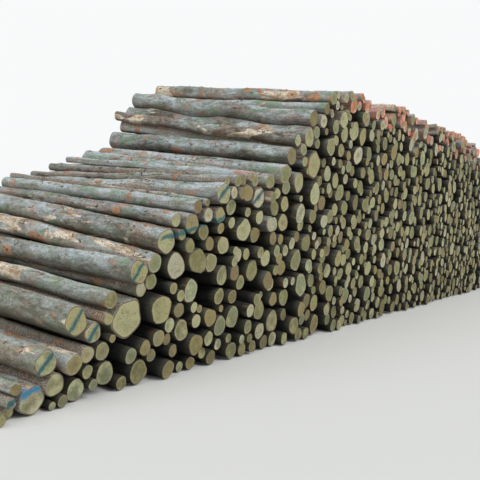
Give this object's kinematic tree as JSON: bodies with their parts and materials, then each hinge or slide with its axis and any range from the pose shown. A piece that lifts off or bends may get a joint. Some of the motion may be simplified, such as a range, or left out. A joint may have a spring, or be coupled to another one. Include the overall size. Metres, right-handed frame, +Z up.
{
  "type": "stack of logs",
  "caption": "Long roadside stack of unpeeled beech roundwood with its cut ends in one ragged face and two sloping ends.",
  "frame": {"origin": "centre of the stack's base on the ground", "axes": "+X along the stack, +Y along the logs from the face to the back, +Z up"},
  "size_m": [16.4038, 3.1426, 3.5866],
  "materials": {
    "log_wood": "smooth grey bark, with sawn ends"
  },
  "bodies": {
    "root": {"course_01": "log_wood", "course_02": "log_wood", "course_03": "log_wood", "course_04": "log_wood", "course_05": "log_wood", "course_06": "log_wood", "course_07": "log_wood", "course_08": "log_wood", "course_09": "log_wood", "course_10": "log_wood", "course_11": "log_wood", "course_12": "log_wood", "course_13": "log_wood", "course_14": "log_wood", "course_15": "log_wood", "course_16": "log_wood", "foot_log_01": "log_wood", "foot_log_02": "log_wood", "foot_log_03": "log_wood", "foot_log_04": "log_wood", "foot_log_05": "log_wood", "foot_log_06": "log_wood", "foot_log_07": "log_wood", "foot_log_08": "log_wood", "foot_log_09": "log_wood", "foot_log_10": "log_wood", "foot_log_11": "log_wood", "foot_log_12": "log_wood", "foot_log_13": "log_wood", "foot_log_14": "log_wood", "foot_log_15": "log_wood", "foot_log_16": "log_wood", "foot_log_17": "log_wood", "foot_log_18": "log_wood", "foot_log_19": "log_wood", "foot_log_20": "log_wood", "foot_log_21": "log_wood", "foot_log_22": "log_wood", "foot_log_23": "log_wood", "foot_log_24": "log_wood", "slope_log_01": "log_wood", "slope_log_02": "log_wood", "slope_log_03": "log_wood", "slope_log_04": "log_wood", "slope_log_05": "log_wood", "slope_log_06": "log_wood", "slope_log_07": "log_wood", "slope_log_08": "log_wood", "slope_log_09": "log_wood", "slope_log_10": "log_wood", "slope_log_11": "log_wood", "slope_log_12": "log_wood", "slope_log_13": "log_wood", "slope_log_14": "log_wood", "slope_log_15": "log_wood", "slope_log_16": "log_wood", "slope_log_17": "log_wood", "slope_log_18": "log_wood"}
  },
  "joints": []
}
